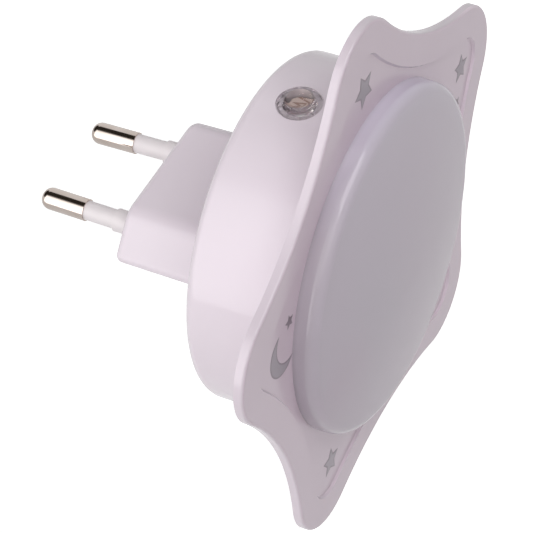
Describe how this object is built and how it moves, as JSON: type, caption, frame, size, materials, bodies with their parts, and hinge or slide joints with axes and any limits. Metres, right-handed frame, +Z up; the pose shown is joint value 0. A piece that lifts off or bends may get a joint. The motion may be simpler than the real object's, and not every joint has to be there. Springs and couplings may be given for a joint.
{
  "type": "plug-in night light",
  "caption": "Star-shaped night light that plugs straight into a wall socket, with a round milky diffuser, a two-pin plug block and a light sensor on top.",
  "frame": {"origin": "middle of the plug block's engagement face, between the two pins, where the block meets the socket", "axes": "+Y out of the engagement face into the wall, +Z up with the sensor on top, +X to the right as seen by someone facing the lit side, which looks along -Y"},
  "size_m": [0.0962, 0.0659, 0.0926],
  "materials": {
    "housing_white": "semi-gloss moulded white",
    "star_white": "semi-gloss moulded white, with flat silver-grey foil stars and a crescent on the sunk field",
    "diffuser_milky": "milky translucent, soft gloss",
    "reflector_white": "matte white",
    "board": "phenolic paper laminate with solder mask",
    "pin_metal": "nickel plated, bright",
    "sleeve_white": "satin",
    "lens_clear": "clear, polished",
    "cell": "coated ceramic with tinned leads",
    "film_cap_box": "yellow box",
    "can_sleeve": "dark shrink sleeve",
    "bridge_body": "black moulded",
    "resistor_grey": "flameproof coating, dull",
    "resistor_beige": "lacquered",
    "diode_glass": "glass",
    "transistor_body": "black moulded",
    "screw_steel": "zinc plated",
    "lead_brown": "soft insulation",
    "lead_blue": "soft insulation",
    "led_body": "white body with yellow phosphor",
    "foil_silver": "satin hot-pressed foil on the sunk field"
  },
  "bodies": {
    "root": {"rear_housing": "housing_white", "star_front": "star_white", "diffuser": "diffuser_milky", "reflector": "reflector_white", "circuit_board": "board", "sensor_lens": "lens_clear", "photocell": "cell", "film_capacitor": "film_cap_box", "electrolytic_capacitor": "can_sleeve", "bridge_rectifier": "bridge_body", "fusible_resistor": "resistor_grey", "bleed_resistor": "resistor_beige", "zener_diode": "diode_glass", "transistor": "transistor_body", "housing_screws": "screw_steel", "board_screws": "screw_steel", "pin_left": "pin_metal", "pin_right": "pin_metal", "pin_sleeve_left": "sleeve_white", "pin_sleeve_right": "sleeve_white", "pin_lead_left": "lead_brown", "pin_lead_right": "lead_blue", "led_1": "led_body", "led_2": "led_body", "led_3": "led_body", "led_4": "led_body", "led_5": "led_body", "led_6": "led_body"}
  },
  "joints": []
}
